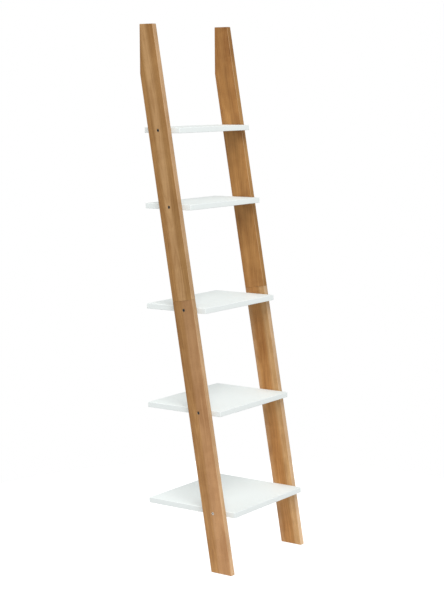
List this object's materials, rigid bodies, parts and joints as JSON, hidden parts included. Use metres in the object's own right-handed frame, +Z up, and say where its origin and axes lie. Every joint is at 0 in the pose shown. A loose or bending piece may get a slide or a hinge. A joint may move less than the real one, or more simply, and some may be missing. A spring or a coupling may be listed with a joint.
{
  "type": "ladder shelf",
  "caption": "Narrow leaning ladder shelf: slanted wooden side rails and white shelves between them, deeper towards the floor.",
  "frame": {"origin": "on the floor, in the middle of the overall width and depth", "axes": "+X to the right, +Y back to the wall, +Z up"},
  "size_m": [0.44, 0.3564, 1.8],
  "materials": {
    "stile_wood": "satin oiled alder, edge-glued from lengthwise strips",
    "white_lacquer": "matt white lacquer on board",
    "dowel_beech": "raw beech",
    "zinc_steel": "bright zinc plate"
  },
  "bodies": {
    "root": {"stile_left_lower": "stile_wood", "stile_left_upper": "stile_wood", "joint_dowel_left_front": "dowel_beech", "joint_dowel_left_rear": "dowel_beech", "stile_right_lower": "stile_wood", "stile_right_upper": "stile_wood", "joint_dowel_right_front": "dowel_beech", "joint_dowel_right_rear": "dowel_beech", "shelf_1": "white_lacquer", "screw_1_left": "zinc_steel", "dowel_1_left_front": "dowel_beech", "dowel_1_left_rear": "dowel_beech", "screw_1_right": "zinc_steel", "dowel_1_right_front": "dowel_beech", "dowel_1_right_rear": "dowel_beech", "shelf_2": "white_lacquer", "screw_2_left": "zinc_steel", "dowel_2_left_front": "dowel_beech", "dowel_2_left_rear": "dowel_beech", "screw_2_right": "zinc_steel", "dowel_2_right_front": "dowel_beech", "dowel_2_right_rear": "dowel_beech", "shelf_3": "white_lacquer", "screw_3_left": "zinc_steel", "dowel_3_left_front": "dowel_beech", "dowel_3_left_rear": "dowel_beech", "screw_3_right": "zinc_steel", "dowel_3_right_front": "dowel_beech", "dowel_3_right_rear": "dowel_beech", "shelf_4": "white_lacquer", "screw_4_left": "zinc_steel", "dowel_4_left_front": "dowel_beech", "dowel_4_left_rear": "dowel_beech", "screw_4_right": "zinc_steel", "dowel_4_right_front": "dowel_beech", "dowel_4_right_rear": "dowel_beech", "shelf_5": "white_lacquer", "screw_5_left": "zinc_steel", "dowel_5_left_front": "dowel_beech", "dowel_5_left_rear": "dowel_beech", "screw_5_right": "zinc_steel", "dowel_5_right_front": "dowel_beech", "dowel_5_right_rear": "dowel_beech"}
  },
  "joints": []
}
